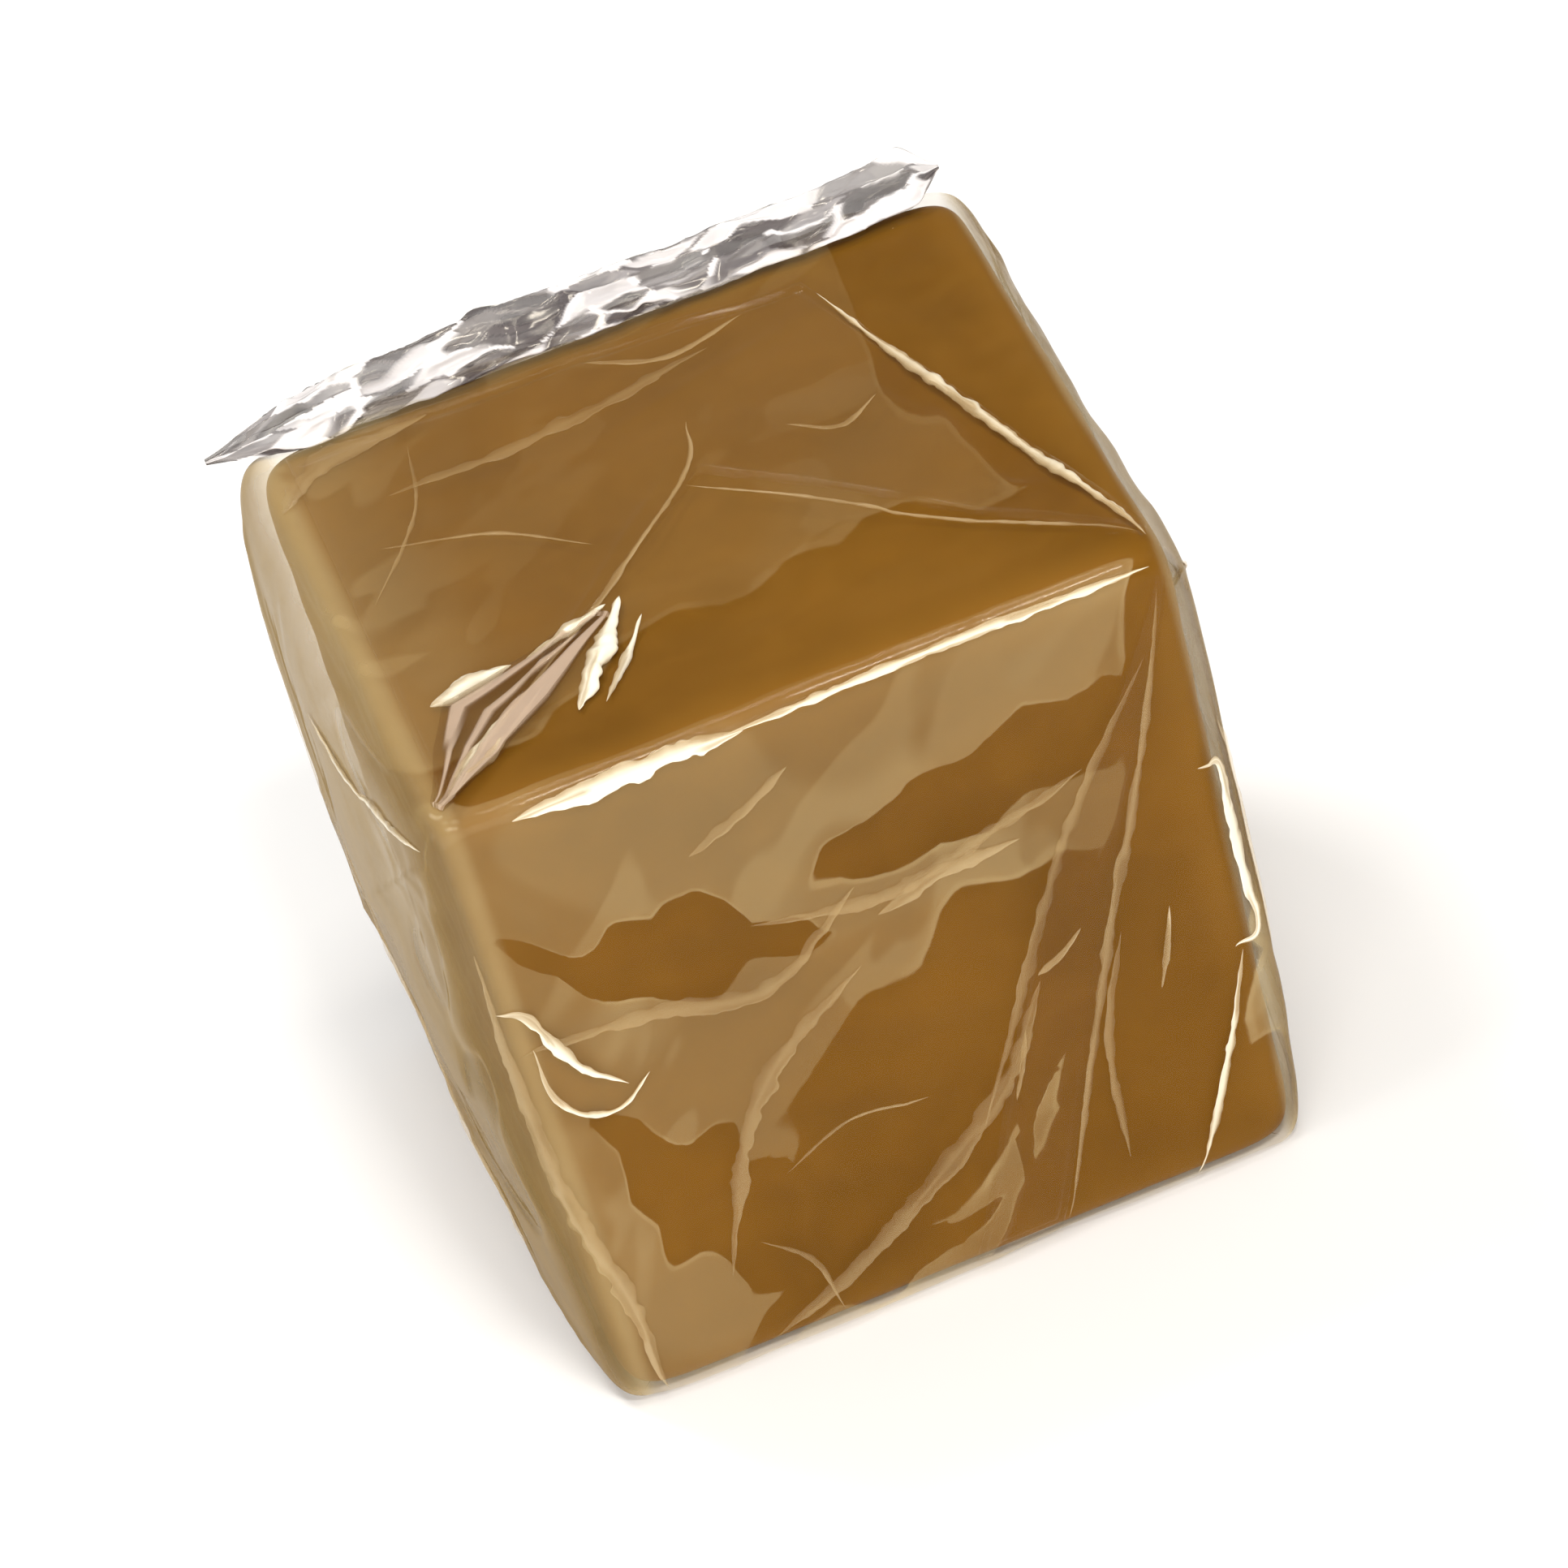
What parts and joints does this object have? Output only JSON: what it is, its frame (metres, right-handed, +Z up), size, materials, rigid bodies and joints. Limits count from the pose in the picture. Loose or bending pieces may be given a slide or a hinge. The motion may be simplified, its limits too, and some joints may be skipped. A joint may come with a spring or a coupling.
{
  "type": "wrapped milk caramel",
  "caption": "Soft square block of milk caramel in a clear film wrapper, folded shut at top and bottom with a crumpled pleat along one top edge.",
  "frame": {"origin": "middle of the underside, on the surface that the sweet rests on", "axes": "+Z up out of the folded top, +X to the right along the pleated edge, +Y to the back, where the pleat stands"},
  "size_m": [0.0222, 0.0206, 0.0209],
  "materials": {
    "caramel": "golden brown, faintly see-through boiled milk caramel with a satin gloss",
    "film": "clear crisp cellulose film, creased, with sharp bright reflections"
  },
  "bodies": {
    "root": {"caramel": "caramel", "film_sleeve": "film", "film_top_fold": "film", "film_bottom_fold": "film"}
  },
  "joints": []
}
